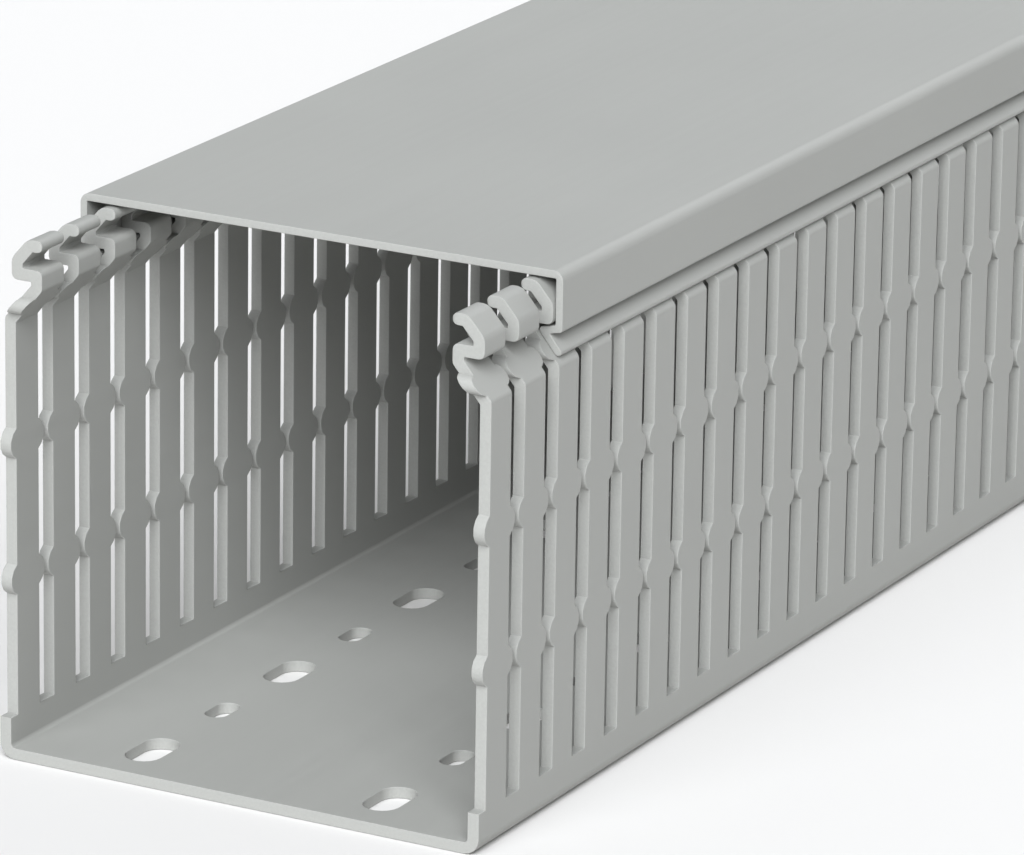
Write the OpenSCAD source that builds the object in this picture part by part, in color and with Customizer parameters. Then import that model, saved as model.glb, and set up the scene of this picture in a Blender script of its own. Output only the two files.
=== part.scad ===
// Slotted wire duct: a U-shaped trough with finger walls and a clip-on cover.
// X runs across the duct, Y along it and Z up.
// The origin is the middle of the trough's underside.

/* [Trough] */
// Finger pitches along the duct, which is cut through the middle of a slot at both ends
pitches = 80; // [24:4:100]
// Width over the side walls
duct_w = 100; // [60:5:150]
// Height from the underside to the tops of the fingers, without the cover
duct_h = 98.9; // [90:0.1:140]
// Thickness of the side walls and of the hooked finger ends
wall_t = 2.3; // [1.6:0.1:2.4]
// Thickness of the base plate
base_t = 2.2; // [1.6:0.1:2.6]
// Outside radius between the base and the walls
corner_r = 3; // [2.8:0.1:6]
// Inside radius between the base and the walls
inner_r = 0.8; // [0.4:0.1:3]

/* [Fingers] */
// Distance from one finger to the next
pitch = 12.5; // [11:0.1:20]
// Width of the slot between two fingers
slot_w = 4.9; // [4.5:0.1:6.5]
// Height of the solid band below the slots
band_h = 8; // [6:0.5:20]
// How far a nub stands into the slot
nub_proud = 1.9; // [1:0.1:2]
// Radius of the round nubs on the finger edges
nub_r = 3.1; // [2.6:0.1:3.6]
// Height of the lowest nubs above the band, and of each next nub above the last
nub_step = 26; // [20:0.5:27]
// Nubs on a finger edge below the shoulder
nub_rows = 2; // [1:1:2]
// Radius of the small nubs on the shoulder
top_nub_r = 1.6; // [1.5:0.1:2.2]
// Height of the small nubs above the foot of the shoulder
top_nub_rise = 3.1; // [2.5:0.1:4]

/* [Finger hooks] */
// Angle of the shoulder and of the hook's slanting limb above the level
shoulder_a = 50; // [42:1:54]
// How far the neck stands inside the wall, between their middle lines
neck_in = 5.6; // [5:0.1:6.5]
// Height of the neck, between the bends' middle lines
neck_h = 2.2; // [1:0.1:4]
// Height of the hook's upright outer part
brow_h = 2.4; // [2:0.1:4]
// Rise of the slanting limb to the finger's tip
limb_rise = 3.2; // [2:0.1:4]
// Run of the slanting limb inwards
limb_run = 2.8; // [2:0.1:4]
// Length of the level lip at the tip
tip_l = 1.4; // [0.5:0.1:2.5]

/* [Cover] */
// Thickness of the cover's top plate
cover_t = 1.5; // [1:0.1:2.5]
// Thickness of the flanges and their hooks
flange_t = 1.4; // [1:0.05:1.6]
// Outside radius of the cover's long top edges
cover_r = 2; // [1.4:0.1:3]
// Play between the cover's flanges and the finger hooks
cover_play = 0.1; // [0.05:0.05:0.3]
// Gap between the finger tips and the cover's top plate
tip_gap = 0.5; // [0.25:0.05:1]
// Distance from the duct's side to the inner end of the flange's curl
curl_in = 3.9; // [3.5:0.1:4.3]
// Distance from the duct's side to the foot of the flange's lip
lip_in = 0.8; // [0.6:0.1:2]
// How far the cover is slid back from the front end
setback = 28.3; // [0:0.1:100]

/* [Base holes] */
// Distance from the middle of the duct to each row of holes
row_x = 25; // [15:1:40]
// Width of the large slotted holes
large_w = 7; // [5:0.1:8]
// Length of the large slotted holes
large_l = 13; // [9:0.5:16]
// Width of the small slotted holes
small_w = 4.5; // [3.5:0.1:6]
// Length of the small slotted holes
small_l = 8.5; // [7:0.5:12]
// Finger pitches from a large hole to the next large hole, with a small one midway
hole_pitches = 4; // [2:2:8]

/* [Hidden] */

duct_l = pitches * pitch;
front_y = -duct_l / 2;
cut = 1;
$fn = 64;

// Middle lines of the finger hook, from the wall up to the tip
wall_x = (duct_w - wall_t) / 2;
tip_z = duct_h - wall_t / 2;
brow_z = tip_z - limb_rise;
arm_z = brow_z - brow_h;
neck_z = arm_z - neck_h;
neck_x = wall_x - neck_in;
shoulder_z = neck_z - neck_in * tan(shoulder_a);
flange_x = (duct_w - flange_t) / 2;
brow_x = flange_x - flange_t / 2 - cover_play - wall_t / 2;
limb_x = brow_x - limb_run;
finger_path = [
    [wall_x, shoulder_z],
    [neck_x, neck_z],
    [neck_x, arm_z],
    [brow_x, arm_z],
    [brow_x, brow_z],
    [limb_x, tip_z],
    [limb_x - tip_l, tip_z],
];

// Middle lines of the cover's flange, from its top down to the foot of the lip
curl_x = duct_w / 2 - curl_in;
lip_x = duct_w / 2 - lip_in;
lip_gap = wall_t / 2 + cover_play + flange_t / 2;
curl_z = arm_z - wall_t / 2 - cover_play - flange_t / 2;
plate_z = duct_h + tip_gap;
flange_path = [
    [flange_x, plate_z],
    [flange_x, curl_z],
    [curl_x, shoulder_line(curl_x, lip_gap)],
    [lip_x, shoulder_line(lip_x, lip_gap)],
];

// Height at x of the line that lies off the middle of the shoulder by gap
function shoulder_line(x, gap) =
    shoulder_z + (wall_x - x) * tan(shoulder_a) + gap / cos(shoulder_a);

// A strip of even thickness along a bent path, with round bends and ends
module strip(path, t) {
    for (i = [1 : len(path) - 1]) {
        from = path[i - 1];
        step = path[i] - from;
        translate(from)
            rotate(atan2(step.y, step.x))
            translate([0, -t / 2])
            square([norm(step), t]);
        translate(path[i])
            circle(d = t);
    }
    translate(path[0])
        circle(d = t);
}

// An upright rectangle on the X axis with its two lower corners rounded
module round_foot(w, h, r) {
    translate([-w / 2, r])
        square([w, h - r]);
    translate([-w / 2 + r, 0])
        square([w - 2 * r, h]);
    for (side = [-1, 1])
        translate([side * (w / 2 - r), r])
        circle(r);
}

// An upright rectangle with its two upper corners rounded
module round_head(w, h, r) {
    translate([0, h])
        mirror([0, 1])
        round_foot(w, h, r);
}

// A slotted hole's outline, long along Y
module slotted(w, l) {
    square([w, l - w], center = true);
    for (end = [-1, 1])
        translate([0, end * (l - w) / 2])
        circle(d = w);
}

// Carries an outline drawn in X and Z along the duct
module along(l) {
    rotate([90, 0, 0])
        linear_extrude(l, center = true)
        children();
}

// Draws its children at both sides of the duct
module both_sides() {
    children();
    mirror([1, 0])
        children();
}

module trough_section() {
    difference() {
        round_foot(duct_w, shoulder_z, corner_r);
        translate([0, base_t])
            round_foot(duct_w - 2 * wall_t, shoulder_z, inner_r);
    }
    both_sides()
        strip(finger_path, wall_t);
}

// The gap between two fingers, drawn in Y and Z, narrowed where the nubs face each other
module slot_outline() {
    difference() {
        translate([-slot_w / 2, band_h])
            square([slot_w, duct_h]);
        for (side = [-1, 1]) {
            for (row = [1 : nub_rows])
                translate([side * (slot_w / 2 + nub_r - nub_proud), band_h + row * nub_step])
                circle(nub_r);
            translate([side * (slot_w / 2 + top_nub_r - nub_proud), shoulder_z + top_nub_rise])
                circle(top_nub_r);
        }
    }
}

module slots() {
    for (i = [0 : pitches])
        translate([0, front_y + i * pitch, 0])
        rotate([90, 0, 90])
        linear_extrude(duct_w + 2 * cut, center = true)
        slot_outline();
}

module base_holes() {
    for (side = [-1, 1])
        for (i = [1 : hole_pitches / 2 : pitches - 1])
            translate([side * row_x, front_y + i * pitch, -cut])
            linear_extrude(base_t + 2 * cut)
            if ((i - 1) % hole_pitches == 0)
                slotted(large_w, large_l);
            else
                slotted(small_w, small_l);
}

module trough() {
    color("#b4b8b5")
        difference() {
            along(duct_l)
                trough_section();
            slots();
            base_holes();
        }
}

module cover_section() {
    difference() {
        translate([0, curl_z])
            round_head(duct_w, plate_z + cover_t - curl_z, cover_r);
        translate([0, (curl_z + plate_z) / 2 - cut])
            square([duct_w - 2 * flange_t, plate_z - curl_z + 2 * cut], center = true);
    }
    both_sides()
        strip(flange_path, flange_t);
}

module cover() {
    color("#b4b8b5")
        translate([0, setback, 0])
        along(duct_l)
        cover_section();
}

trough();
cover();
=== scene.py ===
import math

import bmesh
import bpy
import numpy as np
from mathutils import Matrix, Quaternion, Vector


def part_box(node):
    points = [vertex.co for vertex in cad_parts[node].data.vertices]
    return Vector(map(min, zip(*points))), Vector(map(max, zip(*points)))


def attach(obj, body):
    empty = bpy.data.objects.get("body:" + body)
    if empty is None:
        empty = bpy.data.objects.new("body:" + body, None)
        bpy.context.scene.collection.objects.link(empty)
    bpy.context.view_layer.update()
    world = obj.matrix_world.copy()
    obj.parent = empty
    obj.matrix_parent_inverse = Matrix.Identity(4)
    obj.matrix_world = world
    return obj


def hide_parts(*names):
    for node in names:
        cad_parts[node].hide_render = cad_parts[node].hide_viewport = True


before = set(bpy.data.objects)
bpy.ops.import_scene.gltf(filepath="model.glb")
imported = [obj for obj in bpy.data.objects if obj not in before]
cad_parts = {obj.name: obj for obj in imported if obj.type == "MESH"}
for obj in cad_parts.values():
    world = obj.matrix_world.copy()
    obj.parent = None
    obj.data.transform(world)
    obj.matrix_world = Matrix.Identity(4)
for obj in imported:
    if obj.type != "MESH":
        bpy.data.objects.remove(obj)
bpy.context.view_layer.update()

# ---------------------------------------------------------------- sizes

# Lengths are in millimetres, and METRE turns them into the scene's metres when a mesh is made.
METRE = 0.001
trough_low, trough_high = (Vector(corner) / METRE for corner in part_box("trough"))
cover_low, cover_high = (Vector(corner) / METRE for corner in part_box("cover"))

# Trough
DUCT_W = trough_high.x - trough_low.x
DUCT_L = trough_high.y - trough_low.y
DUCT_H = trough_high.z - trough_low.z
FRONT = trough_low.y
WALL_T = 2.3
BASE_T = 2.2
CORNER_R = 3.0
INNER_R = 0.8

# Fingers. The small nubs on the shoulder lie TOP_NUB_RISE above its foot.
PITCH = 12.5
PITCHES = round(DUCT_L / PITCH)
SLOT_W = 4.9
BAND_H = 8.0
NUB_PROUD = 1.9
NUB_R = 3.1
NUB_STEP = 26.0
NUB_ROWS = 2
TOP_NUB_R = 1.6
TOP_NUB_RISE = 3.1

# Finger hooks
SHOULDER_SLOPE = math.tan(math.radians(50))
NECK_IN = 5.6
NECK_H = 2.2
BROW_H = 2.4
LIMB_RISE = 3.2
LIMB_RUN = 2.8
TIP_L = 1.4

# Cover
COVER_T = 1.5
FLANGE_T = 1.4
COVER_R = 2.0
COVER_PLAY = 0.1
CURL_IN = 3.9
LIP_IN = 0.8

# Base holes, as width and length
ROW_X = 25.0
LARGE_HOLE = (7.0, 13.0)
SMALL_HOLE = (4.5, 8.5)
HOLE_PITCHES = 4
CELL_W = 12.0

# Radii of the cut edges, of the bends' hollow sides and of the limb's softer bulging sides
EDGE_R = 0.15
HOLLOW_R = 0.25
LIMB_R = 2.2

# Steps round the arcs, and points on a nub's circle, from its flank's angle below the level
EDGE_STEPS = 2
COVER_EDGE_STEPS = 3
CORNER_STEPS = 4
NUB_POINTS = 6
NUB_FLANK = math.acos(1 - NUB_PROUD / NUB_R)
TOP_NUB_FLANK = math.radians(75)
WALL_BEND_STEPS = 2
HOOK_STEPS = (2, 3, 3, 2, 2)
TIP_STEPS = 3
COVER_BEND_STEPS = 6
COVER_STEPS = 8
HOLE_POINTS = 10

# Points closer than MERGE become one, and edges sharper than CREASE stay sharp when shaded.
# The rows to either side of a shoulder's nub lie BESIDE_NUB past its circle.
MERGE = 0.002
BESIDE_NUB = 0.02
CREASE = math.radians(50)
FACE_WEIGHT = 80

MIRROR_X = np.array([-1, 1, 1])
MIRROR_Y = np.array([1, -1, 1])
MIRROR_SECTION = np.array([-1, 1])


# ---------------------------------------------------------------- finish and light

# Colours are linear. The span that nearly all of a noise's values fall in comes first.
NOISE_LOW, NOISE_HIGH = 0.3, 0.7
SKIN_TONES = ((0.313, 0.316, 0.299), (0.329, 0.332, 0.314))
CUT_TONES = ((0.313, 0.316, 0.299), (0.337, 0.340, 0.322))
SKIN_ROUGHNESS = (0.58, 0.68)
CUT_ROUGHNESS = (0.66, 0.76)
PLASTIC_IOR = 1.5

# Patterns, by lumps to the metre. STREAK_SHAPE draws the streaks out along the duct, and
# STREAK_SHARE is their share in the tone, beside the clouds.
STREAK_SCALE = 450
STREAK_SHAPE = (1, 0.012, 1)
STREAK_DETAIL = 3
STREAK_SHARE = 0.5
CLOUD_SCALE = 22
CLOUD_DETAIL = 2
GRAIN_SCALE = 2200
GRAIN_DETAIL = 2

# Heights of the patterns' relief, in millimetres
STREAK_RELIEF = 0.012
GRAIN_RELIEF = 0.01

# Camera: degrees and millimetres. It aims at a point over the middle line, behind the front end.
CAMERA_AZIMUTH = 28.232
CAMERA_ELEVATION = 17.493
CAMERA_ROLL = -0.908
CAMERA_DISTANCE = 1347.6
CAMERA_LENS = 248.36
CAMERA_REACH = 100000
AIM_BEHIND_FRONT = 103.26
AIM_HEIGHT = 43.73

FLOOR_REACH = 20000
FLOOR_DROP = 0.05
FLOOR_COLOUR = (0.7, 0.69, 0.676, 1)
FLOOR_ROUGHNESS = 0.9

# Lamps, as degrees round from the front towards +X, degrees up, and brightness
LAMPS = (
    (30, 40, 1.08),
    (0, 40, 0.57),
    (60, 30, 0.08),
    (10, 15, 0.14),
    (180, 20, 0.41),
    (225, 20, 0.04),
    (270, 50, 0.09),
)
LAMP_SPREAD = 40
LAMP_COLOUR = (0.98, 1, 1.03)
AIR_LIGHT = 0.05


# ---------------------------------------------------------------- sheet sections

def unit(vector):
    return vector / np.linalg.norm(vector)


def bend(before, corner, after, outside_r, inside_r, half, steps):
    """Rows of point pairs round a bend of a sheet's middle line, in X and Z.
    The first point lies on the right of the way taken and the second on the left.
    The bulging side is an arc of outside_r and the hollow side one of inside_r. Both arcs have
    their middles on the bend's halving line, where they touch the sheet's straight faces."""
    to_corner, from_corner = unit(corner - before), unit(after - corner)
    turn = np.arctan2(
        to_corner[0] * from_corner[1] - to_corner[1] * from_corner[0], to_corner @ from_corner
    )
    heading = np.arctan2(to_corner[1], to_corner[0]) + turn * np.linspace(0, 1, steps + 1)
    right = np.stack([np.sin(heading), -np.cos(heading)], axis=1)
    bulge = np.sign(turn)
    halving = heading[0] + turn / 2
    outwards = bulge * np.array([np.sin(halving), -np.cos(halving)])
    stretch = 1 / np.cos(turn / 2)
    bulging = corner - outwards * (outside_r - half) * stretch + bulge * right * outside_r
    hollow = corner - outwards * (half + inside_r) * stretch + bulge * right * inside_r
    return (bulging, hollow) if bulge > 0 else (hollow, bulging)


def round_tip(before, tip, half, steps):
    """Rows of point pairs round a sheet's end: two quarter circles that meet at the far point."""
    along = unit(tip - before)
    right = np.array([along[1], -along[0]])
    angle = np.linspace(0, math.pi / 2, steps + 1)[:, None]
    out, forward = half * np.cos(angle) * right, half * np.sin(angle) * along
    return tip + out + forward, tip - out + forward


def joined(pairs):
    """One pair of point columns from several."""
    return np.concatenate([p[0] for p in pairs]), np.concatenate([p[1] for p in pairs])


def wall_rows(heights):
    """Rows of point pairs across the upright right-hand wall, outer point first."""
    heights = np.asarray(heights)
    outer = np.full(len(heights), DUCT_W / 2)
    return np.stack([outer, heights], axis=1), np.stack([outer - WALL_T, heights], axis=1)


# ---------------------------------------------------------------- rounded cut edges

def edge_profile(steps, thickness):
    """A sheet's cut edge, from its right face to its left one: for each point the share of the
    thickness crossed and the inset from the cut. The ends are quarter circles of EDGE_R."""
    angle = np.linspace(0, math.pi / 2, steps + 1)
    depth = EDGE_R * (1 - np.cos(angle)) / thickness
    inset = EDGE_R * (1 - np.sin(angle))
    return np.concatenate([depth, 1 - depth[::-1]]), np.concatenate([inset, inset[::-1]])


def cut_mark(inset):
    """How far a point belongs to a punched or sawn cut: 1 on it, 0 past its rounded edge."""
    return 1 - inset / EDGE_R


def marked(points, mark):
    """Points with their cut mark as a fourth column."""
    mark = np.broadcast_to(mark, points.shape[:-1])[..., None]
    return np.concatenate([points, mark], axis=-1).reshape(-1, 4)


def grid_faces(rows, columns, closed=False):
    """Index quads of a grid whose points run row by row, closed round the columns if asked."""
    last = columns if closed else columns - 1
    row, column = np.meshgrid(np.arange(rows - 1), np.arange(last), indexing="ij")
    following = (column + 1) % columns
    a, b = row * columns + column, row * columns + following
    return np.stack([a, b, b + columns, a + columns], axis=-1).reshape(-1, 4)


def gathered(groups):
    """One list of points and faces from several."""
    starts = np.cumsum([0] + [len(points) for points, _ in groups[:-1]])
    return (
        np.concatenate([points for points, _ in groups]),
        np.concatenate([faces + start for start, (_, faces) in zip(starts, groups)]),
    )


def placed(group, offsets):
    """A copy of a group of points and faces at each offset, and its mirror image in X."""
    points, faces = group
    moved = points[None] + np.pad(offsets, ((0, 0), (0, 1)))[:, None]
    moved = np.concatenate([moved, moved * np.append(MIRROR_X, 1)])
    starts = len(points) * np.arange(len(moved))
    return moved.reshape(-1, 4), (faces[None] + starts[:, None, None]).reshape(-1, 4)


def bar(right, left, profile, half_width, closeness, foot=None):
    """A strip of sheet with rounded cut edges at both sides, as a grid of section row by ring.
    A ring crosses the sheet by the edge profile at +Y and comes back the same way at -Y.
    half_width(z, inset) says how far the strip reaches, and closeness, 0 to 1 for each row,
    draws the ring's Y together to that of the faces, so that a round tip closes to a line.
    With a foot, the first row lies at that height, less the inset."""
    share, inset = profile
    point = right[:, None] + share[None, :, None] * (left - right)[:, None]
    if foot is not None:
        point[0, :, 1] = foot - inset
    drawn = inset + (EDGE_R - inset) * closeness[:, None]
    y = half_width(point[..., 1], drawn)
    front = np.stack([point[..., 0], y, point[..., 1]], axis=-1)
    ring = np.concatenate([front, front[:, ::-1] * MIRROR_Y], axis=1)
    mark = np.concatenate([cut_mark(inset), cut_mark(inset)[::-1]])
    return marked(ring, mark), grid_faces(len(right), ring.shape[1], closed=True)


# ---------------------------------------------------------------- fingers

def nub_circles():
    """Height and radius of the circles of a finger edge's nubs, the lowest first."""
    shoulder_z = hook_corners()[1, 1]
    on_wall = [(BAND_H + row * NUB_STEP, NUB_R) for row in range(1, NUB_ROWS + 1)]
    return [*on_wall, (shoulder_z + TOP_NUB_RISE, TOP_NUB_R)]


def nub_heights(height, radius, flank):
    """Heights of evenly turned points on a nub's circle, between its flanks."""
    return height + radius * np.sin(np.linspace(-flank, flank, NUB_POINTS))


def finger_half_width(z, inset):
    """Half of a finger's width at height z: its straight edge or, where it stands further out,
    a nub's circle. Both lie inwards of the cut by the inset."""
    straight = (PITCH - SLOT_W) / 2
    reach = straight - inset
    for height, radius in nub_circles():
        chord = np.sqrt(np.maximum((radius - inset) ** 2 - (z - height) ** 2, 0))
        nub = straight + NUB_PROUD - radius + chord
        reach = np.where(chord > 0, np.maximum(reach, nub), reach)
    return reach


def hook_corners():
    """The corners of a right-hand finger's middle line, from the wall up to the tip."""
    wall_x = (DUCT_W - WALL_T) / 2
    tip_z = DUCT_H - WALL_T / 2
    brow_z = tip_z - LIMB_RISE
    arm_z = brow_z - BROW_H
    neck_z = arm_z - NECK_H
    neck_x = wall_x - NECK_IN
    brow_x = wall_x - FLANGE_T - COVER_PLAY
    limb_x = brow_x - LIMB_RUN
    return np.array([
        [wall_x, BAND_H],
        [wall_x, neck_z - NECK_IN * SHOULDER_SLOPE],
        [neck_x, neck_z],
        [neck_x, arm_z],
        [brow_x, arm_z],
        [brow_x, brow_z],
        [limb_x, tip_z],
        [limb_x - TIP_L, tip_z],
    ])


def shoulder_rows(corners):
    """Level rows of point pairs up the slanting shoulder: its nub's, and one to either side."""
    height, radius = nub_circles()[-1]
    nub = nub_heights(height, radius, TOP_NUB_FLANK)
    beside = radius + BESIDE_NUB
    heights = np.concatenate([[height - beside], nub, [height + beside]])
    middle = corners[1, 0] - (heights - corners[1, 1]) / SHOULDER_SLOPE
    across = WALL_T / 2 * math.hypot(1, 1 / SHOULDER_SLOPE)
    return np.stack([middle + across, heights], axis=1), np.stack([middle - across, heights], axis=1)


def finger():
    """One right-hand finger with its middle at Y 0, open below where it grows from the band.
    Its section runs up the wall and round the hook, as wide as finger_half_width says."""
    corners = hook_corners()
    half = WALL_T / 2
    upright = [BAND_H]
    for height, radius in nub_circles()[:-1]:
        upright.extend(nub_heights(height, radius, NUB_FLANK))
    wall_bend = bend(*corners[:3], half, HOLLOW_R, half, WALL_BEND_STEPS)
    bulges = (half, half, half, LIMB_R, LIMB_R)
    hook = [
        bend(*corners[i - 1:i + 2], bulge, HOLLOW_R, half, steps)
        for i, (bulge, steps) in enumerate(zip(bulges, HOOK_STEPS), start=2)
    ]
    tip = round_tip(corners[-2], corners[-1], half, TIP_STEPS)
    rows = joined([wall_rows(upright), wall_bend, shoulder_rows(corners), *hook, tip])
    closeness = np.zeros(len(rows[0]))
    closeness[-TIP_STEPS - 1:] = 1 - np.cos(np.linspace(0, math.pi / 2, TIP_STEPS + 1))
    return bar(*rows, edge_profile(EDGE_STEPS, WALL_T), finger_half_width, closeness, foot=BAND_H)


def fingers():
    """Every finger of both walls: the same grid moved along and mirrored."""
    middles = FRONT + PITCH * (np.arange(PITCHES) + 0.5)
    return placed(finger(), middles[:, None] * np.array([0, 1, 0]))


def sills():
    """The rounded floors of all the slots: the edge profile laid across the band's top,
    carried along Y from one finger's edge to the next, and stopped by the trough's ends."""
    share, inset = edge_profile(EDGE_STEPS, WALL_T)
    slots = PITCH * np.arange(PITCHES + 1)[:, None]
    near = np.maximum(slots - SLOT_W / 2 - inset, inset)
    far = np.minimum(slots + SLOT_W / 2 + inset, DUCT_L - inset)
    ends = np.stack([near, far], axis=1)
    points = np.empty((*ends.shape, 3))
    points[..., 0] = DUCT_W / 2 - share * WALL_T
    points[..., 1] = FRONT + ends
    points[..., 2] = BAND_H - inset
    faces = grid_faces(2, len(share))
    right = [(marked(sill, cut_mark(inset)), faces) for sill in points]
    left = [(marked(sill * MIRROR_X, cut_mark(inset)), faces) for sill in points]
    return gathered(right + left)


# ---------------------------------------------------------------- base

def bed_rows():
    """Rows of point pairs from the top of the left band over the base to the right one. The base
    has rows at both borders of its holes' cells, and its bends are arcs of their own radii."""
    borders = ROW_X + CELL_W / 2 * np.array([-1, 1])
    floor_rows = (
        np.stack([borders, np.zeros(2)], axis=1), np.stack([borders, np.full(2, BASE_T)], axis=1)
    )
    angle = np.linspace(0, math.pi / 2, CORNER_STEPS + 1)[:, None]
    arc = np.concatenate([np.sin(angle), -np.cos(angle)], axis=1)
    corner_rows = (
        np.array([DUCT_W / 2 - CORNER_R, CORNER_R]) + CORNER_R * arc,
        np.array([DUCT_W / 2 - WALL_T - INNER_R, BASE_T + INNER_R]) + INNER_R * arc,
    )
    outer, inner = joined([floor_rows, corner_rows, wall_rows([BAND_H])])
    return tuple(np.concatenate([side[::-1] * MIRROR_SECTION, side]) for side in (outer, inner))


def bed():
    """The base, its two bent corners and the low bands under the slots, as a grid of section row
    by ring. A ring runs along the underside, up over the rounded far end, back along the inside
    and down over the near end. Where the base has a row of holes only the parts between are kept."""
    share, inset = edge_profile(EDGE_STEPS, WALL_T)
    cut = SLOT_W / 2 + EDGE_R
    slots = PITCH * np.arange(PITCHES + 1)
    stations = np.sort(np.concatenate([slots - cut, slots + cut]))
    stations[0], stations[-1] = EDGE_R, DUCT_L - EDGE_R
    count, rim = len(stations), slice(1, -1)
    y = np.concatenate([stations, DUCT_L - inset[rim], stations[::-1], inset[rim][::-1]])
    across = np.concatenate([np.zeros(count), share[rim], np.ones(count), share[rim][::-1]])
    drop = np.concatenate([
        np.full(count, EDGE_R), inset[rim], np.full(count, EDGE_R), inset[rim][::-1]
    ])
    outer, inner = bed_rows()
    section = outer[:, None] + across[None, :, None] * (inner - outer)[:, None]
    section[[0, -1], :, 1] -= drop
    points = np.stack([
        section[..., 0], np.broadcast_to(FRONT + y, section.shape[:2]), section[..., 1]
    ], axis=-1)
    faces = grid_faces(len(section), len(y), closed=True).reshape(len(section) - 1, len(y), 4)
    kept = np.ones(faces.shape[:2], bool)
    holed = np.arange(count - 1) % HOLE_PITCHES != 0
    above = count + len(share) - 2
    middle = len(section) // 2
    for strip in (middle - 2, middle):
        kept[strip, :count - 1] = ~holed
        kept[strip, above:above + count - 1] = ~holed[::-1]
    return marked(points, cut_mark(drop)), faces[kept]


def hole(width, length):
    """A cell of the base round one slotted hole, as a closed grid of row by turn. The rows run
    from the cell's lower border in to the hole, through it over both rounded rims, and out to
    the upper border. The ends of the hole's straight sides go to the border points beside them,
    and its other points to the cell's corners."""
    share, inset = edge_profile(EDGE_STEPS, BASE_T)
    half_turn = np.linspace(0, math.pi, HOLE_POINTS)
    angle = np.concatenate([half_turn, math.pi + half_turn])
    middle_y = np.repeat([1, -1], HOLE_POINTS) * (length - width) / 2
    radius = width / 2 + inset[:, None]
    wall = np.stack([
        radius * np.cos(angle),
        middle_y + radius * np.sin(angle),
        np.broadcast_to(BASE_T * share[:, None], (len(share), len(angle))),
    ], axis=-1)
    near_y = SLOT_W / 2 + EDGE_R
    quarter = HOLE_POINTS // 2
    quarter_y = np.full(quarter, PITCH - near_y)
    quarter_y[0] = near_y
    half_y = np.concatenate([quarter_y, quarter_y[::-1]])
    border_x = np.repeat([1, -1, -1, 1], quarter) * CELL_W / 2
    low = np.stack([border_x, np.concatenate([half_y, -half_y]), np.zeros(len(angle))], axis=-1)
    high = low + np.array([0, 0, BASE_T])
    points = np.concatenate([low[None], wall, high[None]])
    mark = np.pad(cut_mark(inset), 1)[:, None]
    return marked(points, mark), grid_faces(len(points), len(angle), closed=True)


def holes():
    """Both rows of base holes: a large and a small hole in turn, midway between slots."""
    slots = FRONT + PITCH * np.arange(1, PITCHES, HOLE_PITCHES // 2)
    spots = np.stack([np.full(len(slots), ROW_X), slots, np.zeros(len(slots))], axis=1)
    return gathered([placed(hole(*LARGE_HOLE), spots[::2]), placed(hole(*SMALL_HOLE), spots[1::2])])


# ---------------------------------------------------------------- cover

def flange_corners():
    """The corners of the right-hand flange's middle line, from its top to the foot of its lip.
    The lip lies along the fingers' shoulder, and the curl under their hooks' arm."""
    corners = hook_corners()
    wall_x, shoulder_z, arm_z = corners[0, 0], corners[1, 1], corners[3, 1]
    half = FLANGE_T / 2
    gap = WALL_T / 2 + COVER_PLAY + half
    flange_x = DUCT_W / 2 - half
    slant_x = DUCT_W / 2 - np.array([CURL_IN, LIP_IN])
    slant_z = shoulder_z + (wall_x - slant_x) * SHOULDER_SLOPE + gap * math.hypot(1, SHOULDER_SLOPE)
    return np.array([
        [flange_x, cover_high.z],
        [flange_x, arm_z - gap],
        [slant_x[0], slant_z[0]],
        [slant_x[1], slant_z[1]],
    ])


def cover_section():
    """Rows of point pairs from the left lip's foot over the cover's top to the right lip's foot."""
    top, foot, curl, lip = flange_corners()
    half = FLANGE_T / 2
    angle = np.linspace(0, math.pi / 2, COVER_STEPS + 1)[:, None]
    arc = np.concatenate([np.sin(angle), np.cos(angle)], axis=1)
    outer = np.array([DUCT_W / 2 - COVER_R, cover_high.z - COVER_R]) + COVER_R * arc
    hollow = np.array([DUCT_W / 2 - FLANGE_T, cover_high.z - COVER_T]) - HOLLOW_R * (1 - arc)
    inner_first = joined([
        (hollow, outer),
        bend(top, foot, curl, half, HOLLOW_R, half, COVER_BEND_STEPS),
        bend(foot, curl, lip, half, HOLLOW_R, half, COVER_BEND_STEPS),
        round_tip(curl, lip, half, TIP_STEPS),
    ])
    return tuple(np.concatenate([side[::-1] * MIRROR_SECTION, side]) for side in inner_first)


def cover():
    """The cover: its section carried along, with sawn ends, and closed at both lips."""
    right, left = cover_section()
    half_l, middle_y = (cover_high.y - cover_low.y) / 2, (cover_high.y + cover_low.y) / 2
    closing = 1 - np.cos(np.linspace(0, math.pi / 2, TIP_STEPS + 1))
    closeness = np.concatenate([closing[::-1], np.zeros(len(right) - 2 * len(closing)), closing])
    points, faces = bar(
        right, left, edge_profile(COVER_EDGE_STEPS, FLANGE_T),
        lambda z, inset: half_l - inset, closeness,
    )
    return points + np.array([0, middle_y, 0, 0]), faces


# ---------------------------------------------------------------- pieces

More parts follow.
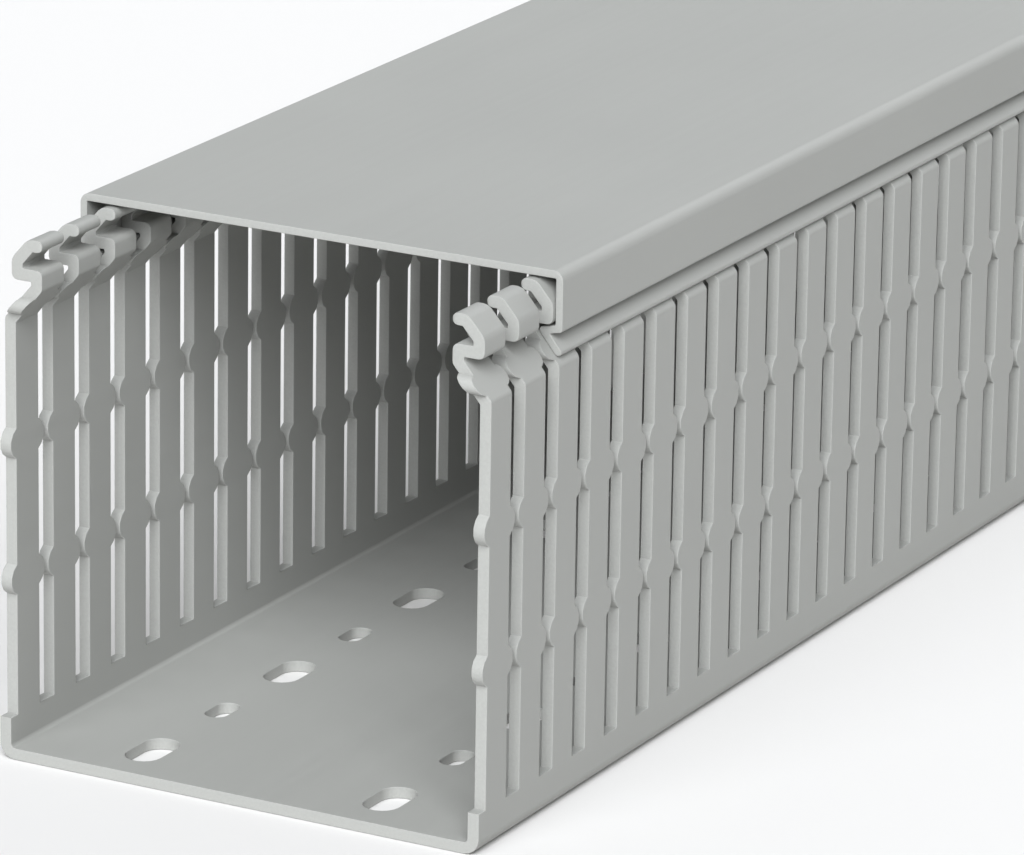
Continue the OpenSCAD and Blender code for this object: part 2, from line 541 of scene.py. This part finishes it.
def piece(name, points, faces, node, material):
    """A closed mesh from points in millimetres, whose fourth column becomes the attribute "cut".
    Doubles are merged, the faces turned outwards, and soft edges shade after their larger faces."""
    mesh = bpy.data.meshes.new(name)
    mesh.from_pydata((points[:, :3] * METRE).tolist(), [], faces.tolist())
    mesh.attributes.new("cut", "FLOAT", "POINT").data.foreach_set("value", points[:, 3])
    shell = bmesh.new()
    shell.from_mesh(mesh)
    bmesh.ops.remove_doubles(shell, verts=shell.verts, dist=MERGE * METRE)
    bmesh.ops.recalc_face_normals(shell, faces=shell.faces)
    shell.to_mesh(mesh)
    shell.free()
    mesh.shade_smooth()
    mesh.set_sharp_from_angle(angle=CREASE)
    mesh.materials.append(material)
    made = bpy.data.objects.new(name, mesh)
    bpy.context.scene.collection.objects.link(made)
    evened = made.modifiers.new("Evened shading", "WEIGHTED_NORMAL")
    evened.keep_sharp = True
    evened.weight = FACE_WEIGHT
    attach(made, node)
    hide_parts(node)


# ---------------------------------------------------------------- plastic

# A mixing node's sockets for colours come after those for numbers and for vectors.
COLOUR_INPUTS = slice(6, 8)
COLOUR_OUTPUT = 2


def add_node(tree, kind, inputs=None, **settings):
    """Adds a node with its settings, its inputs set, or linked where an output is given."""
    made = tree.nodes.new(kind)
    for setting, value in settings.items():
        setattr(made, setting, value)
    for name, value in (inputs or {}).items():
        if isinstance(value, bpy.types.NodeSocket):
            tree.links.new(value, made.inputs[name])
        else:
            made.inputs[name].default_value = value
    return made


def noise(tree, place, scale, detail):
    """Soft random values of 0 to 1, mostly near a half, with lumps of 1 / scale."""
    inputs = {"Vector": place, "Scale": scale, "Detail": detail}
    return add_node(tree, "ShaderNodeTexNoise", inputs).outputs["Fac"]


def spread(tree, value, low, high):
    """The span of a noise's values carried over to the span from low to high."""
    inputs = {
        "Value": value, "From Min": NOISE_LOW, "From Max": NOISE_HIGH, "To Min": low, "To Max": high
    }
    return add_node(tree, "ShaderNodeMapRange", inputs).outputs["Result"]


def between(tree, share, low, high):
    """A value that lies by the given share between two others."""
    inputs = {"Factor": share, "A": low, "B": high}
    return add_node(tree, "ShaderNodeMix", inputs).outputs["Result"]


def tone(tree, share, dark, light):
    """A colour that lies by the given share between two others."""
    made = add_node(tree, "ShaderNodeMix", {"Factor": share}, data_type="RGBA")
    for socket, colour in zip(made.inputs[COLOUR_INPUTS], (dark, light)):
        if isinstance(colour, bpy.types.NodeSocket):
            tree.links.new(colour, socket)
        else:
            socket.default_value = (*colour, 1)
    return made.outputs[COLOUR_OUTPUT]


def grey_plastic():
    """Rigid grey plastic, drawn through a die: satin, with long faint streaks along the duct and
    a soft unevenness of tone. Punched and sawn cuts are a little paler, duller and fine-grained."""
    material = bpy.data.materials.new("grey_pvc")
    material.use_nodes = True
    tree = material.node_tree
    place = add_node(tree, "ShaderNodeTexCoord").outputs["Object"]
    drawn = add_node(tree, "ShaderNodeMapping", {"Vector": place, "Scale": STREAK_SHAPE})
    streaks = noise(tree, drawn.outputs["Vector"], STREAK_SCALE, STREAK_DETAIL)
    clouds = noise(tree, place, CLOUD_SCALE, CLOUD_DETAIL)
    grain = noise(tree, place, GRAIN_SCALE, GRAIN_DETAIL)
    on_cut = add_node(tree, "ShaderNodeAttribute", attribute_name="cut").outputs["Fac"]

    skin = tone(tree, spread(tree, between(tree, STREAK_SHARE, clouds, streaks), 0, 1), *SKIN_TONES)
    cut = tone(tree, spread(tree, grain, 0, 1), *CUT_TONES)
    roughness = between(
        tree, on_cut, spread(tree, streaks, *SKIN_ROUGHNESS), spread(tree, grain, *CUT_ROUGHNESS)
    )
    relief = between(
        tree, on_cut, spread(tree, streaks, 0, STREAK_RELIEF), spread(tree, grain, 0, GRAIN_RELIEF)
    )
    bump = add_node(tree, "ShaderNodeBump", {"Height": relief, "Strength": 1, "Distance": METRE})

    shader = tree.nodes["Principled BSDF"]
    tree.links.new(tone(tree, on_cut, skin, cut), shader.inputs["Base Color"])
    tree.links.new(roughness, shader.inputs["Roughness"])
    tree.links.new(bump.outputs["Normal"], shader.inputs["Normal"])
    shader.inputs["IOR"].default_value = PLASTIC_IOR
    return material


# ---------------------------------------------------------------- studio

def camera():
    """A long lens in front of the duct's right-hand side, a little above it."""
    azimuth, elevation = math.radians(CAMERA_AZIMUTH), math.radians(CAMERA_ELEVATION)
    forward = Vector((
        -math.sin(azimuth) * math.cos(elevation),
        math.cos(azimuth) * math.cos(elevation),
        -math.sin(elevation),
    ))
    level = forward.cross(Vector((0, 0, 1))).normalized()
    right = Quaternion(forward, math.radians(CAMERA_ROLL)) @ level
    turn = Matrix((right, right.cross(forward), -forward)).transposed()
    aim = Vector((0, FRONT + AIM_BEHIND_FRONT, AIM_HEIGHT))
    data = bpy.data.cameras.new("Camera")
    data.lens = CAMERA_LENS
    data.clip_end = CAMERA_REACH * METRE
    made = bpy.data.objects.new("Camera", data)
    made.matrix_world = Matrix.Translation((aim - forward * CAMERA_DISTANCE) * METRE) @ turn.to_4x4()
    bpy.context.scene.collection.objects.link(made)
    bpy.context.scene.camera = made


def floor():
    """A wide level square, matt and nearly white, just under the duct."""
    x, y = np.array([[-1, 1, 1, -1], [-1, -1, 1, 1]]) * FLOOR_REACH
    corners = np.stack([x, y, np.full(4, -FLOOR_DROP)], axis=1) * METRE
    mesh = bpy.data.meshes.new("Floor")
    mesh.from_pydata(corners.tolist(), [], [(0, 1, 2, 3)])
    material = bpy.data.materials.new("Floor white")
    material.use_nodes = True
    shader = material.node_tree.nodes["Principled BSDF"]
    shader.inputs["Base Color"].default_value = FLOOR_COLOUR
    shader.inputs["Roughness"].default_value = FLOOR_ROUGHNESS
    mesh.materials.append(material)
    made = bpy.data.objects.new("Floor", mesh)
    bpy.context.scene.collection.objects.link(made)


def lamp(azimuth, elevation, brightness):
    """A broad far lamp. Its brightness is that of a white matt surface turned to face it."""
    data = bpy.data.lights.new(f"Lamp {azimuth} {elevation}", "SUN")
    data.energy = math.pi * brightness
    data.angle = math.radians(LAMP_SPREAD)
    data.color = LAMP_COLOUR
    made = bpy.data.objects.new(data.name, data)
    made.rotation_euler = (math.radians(90 - elevation), 0, math.radians(azimuth))
    bpy.context.scene.collection.objects.link(made)


def studio():
    """Broad soft lamps round the duct, and a faint even light from everywhere."""
    scene = bpy.context.scene
    scene.view_settings.view_transform = "Standard"
    scene.world = bpy.data.worlds.new("Studio")
    scene.world.use_nodes = True
    air = scene.world.node_tree.nodes["Background"]
    air.inputs["Color"].default_value = (*LAMP_COLOUR, 1)
    air.inputs["Strength"].default_value = AIR_LIGHT
    for values in LAMPS:
        lamp(*values)


# ---------------------------------------------------------------- duct

plastic = grey_plastic()
piece("duct_trough", *gathered([bed(), sills(), holes(), fingers()]), "trough", plastic)
piece("duct_cover", *cover(), "cover", plastic)
camera()
floor()
studio()
